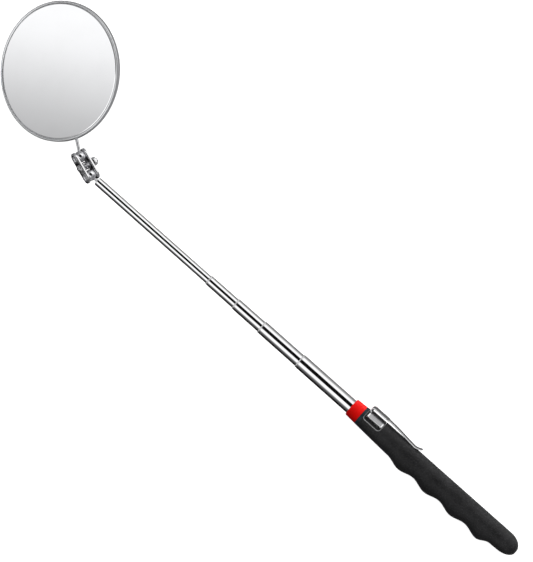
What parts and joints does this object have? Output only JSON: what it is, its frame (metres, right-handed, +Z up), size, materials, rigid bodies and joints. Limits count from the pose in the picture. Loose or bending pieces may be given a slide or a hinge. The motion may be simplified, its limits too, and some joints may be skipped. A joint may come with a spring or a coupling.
{
  "type": "telescoping inspection mirror",
  "caption": "Round inspection mirror on a double ball joint at the end of a telescoping tube, with a ridged rubber grip and a pocket clip.",
  "frame": {"origin": "on the axis of the shaft, where the bare outer tube leaves the front of the collar", "axes": "+X along the shaft towards the mirror, +Z up with the tool lying on its side, the pocket clip on the -Y side and the finger ridges on +Y"},
  "size_m": [0.4467, 0.0879, 0.0289],
  "materials": {
    "soft_rubber": "matte black rubber, finely grained",
    "black_plastic": "plain moulded",
    "red_plastic": "glossy red",
    "chrome_tube": "polished",
    "spring_brass": "satin",
    "clip_steel": "polished sheet",
    "bright_steel": "turned and plated",
    "ball_steel": "polished",
    "plate_steel": "pressed and plated",
    "screw_steel": "plated",
    "spring_steel": "drawn wire",
    "saddle_steel": "pressed sheet",
    "rivet_aluminium": "satin",
    "case_steel": "pressed sheet",
    "foam_pad": "foam",
    "mirror_glass": "silvered, bevelled edge",
    "rim_steel": "rolled and plated"
  },
  "bodies": {
    "handle": {"rubber_grip": "soft_rubber", "grip_core": "black_plastic", "collar": "red_plastic", "outer_tube": "chrome_tube", "clip_band": "clip_steel"},
    "clip_spring": {"clip_arm": "clip_steel"},
    "first_section": {"first_tube": "chrome_tube", "first_sleeve": "spring_brass"},
    "second_section": {"second_tube": "chrome_tube", "second_sleeve": "spring_brass"},
    "third_section": {"third_tube": "chrome_tube", "third_sleeve": "spring_brass"},
    "tip_bush": {"tip_sleeve": "spring_brass"},
    "tip_section": {"tip_tube": "chrome_tube", "tip_stud": "bright_steel"},
    "lower_ball": {"tube_ball": "ball_steel"},
    "clamp": {"near_plate": "plate_steel", "far_plate": "plate_steel", "tension_screw": "screw_steel", "tension_nut": "screw_steel", "tension_washer": "screw_steel", "tension_spring": "spring_steel"},
    "upper_ball": {"mirror_ball": "ball_steel"},
    "stem": {"mirror_stem": "bright_steel"},
    "head": {"stem_saddle": "saddle_steel", "saddle_rivets": "rivet_aluminium", "mirror_case": "case_steel", "mirror_pad": "foam_pad", "mirror_glass": "mirror_glass", "mirror_rim": "rim_steel"}
  },
  "joints": [
    {"name": "first_tube_slide", "type": "slide", "parent": "handle", "child": "first_section", "axis": [1, 0, 0], "range_m": [-0.0282, 0.1148]},
    {"name": "second_tube_slide", "type": "slide", "parent": "first_section", "child": "second_section", "axis": [1, 0, 0], "range_m": [-0.0184, 0.1246]},
    {"name": "third_tube_slide", "type": "slide", "parent": "second_section", "child": "third_section", "axis": [1, 0, 0], "range_m": [-0.0191, 0.1239]},
    {"name": "tip_tube_slide", "type": "slide", "parent": "third_section", "child": "tip_bush", "axis": [1, 0, 0], "range_m": [-0.0887, 0.0543]},
    {"name": "tip_tube_spin", "type": "hinge", "parent": "tip_bush", "child": "tip_section", "pos_m": [0.0556, 0, 0], "axis": [1, 0, 0], "continuous": true},
    {"name": "clamp_tilt", "type": "hinge", "parent": "tip_section", "child": "lower_ball", "pos_m": [0.21495, 0, 0], "axis": [0, 0.6639, -0.7478], "range_deg": [-36.1, 5.9]},
    {"name": "clamp_swing", "type": "hinge", "parent": "lower_ball", "child": "clamp", "pos_m": [0.21495, 0, 0], "axis": [0.2605, 0.722, 0.641], "range_deg": [-87.2, 112.8]},
    {"name": "stem_swing", "type": "hinge", "parent": "clamp", "child": "upper_ball", "pos_m": [0.22721, -0.00439, -0.00004], "axis": [-0.2605, -0.722, -0.641], "range_deg": [-101.1, 98.9]},
    {"name": "stem_tilt", "type": "hinge", "parent": "upper_ball", "child": "stem", "pos_m": [0.22721, -0.00439, -0.00004], "axis": [0.2319, 0.5977, -0.7674], "range_deg": [-39.4, 2.6]},
    {"name": "head_spin", "type": "hinge", "parent": "stem", "child": "head", "pos_m": [0.27111, -0.03478, -0.01044], "axis": [0.8071, -0.5587, -0.1912], "continuous": true},
    {"name": "clip_flex", "type": "hinge", "parent": "handle", "child": "clip_spring", "pos_m": [-0.0117, -0.00815, 0], "axis": [0, 0, 1], "range_deg": [0, 5], "stiffness_Nm_per_rad": 2.2}
  ]
}
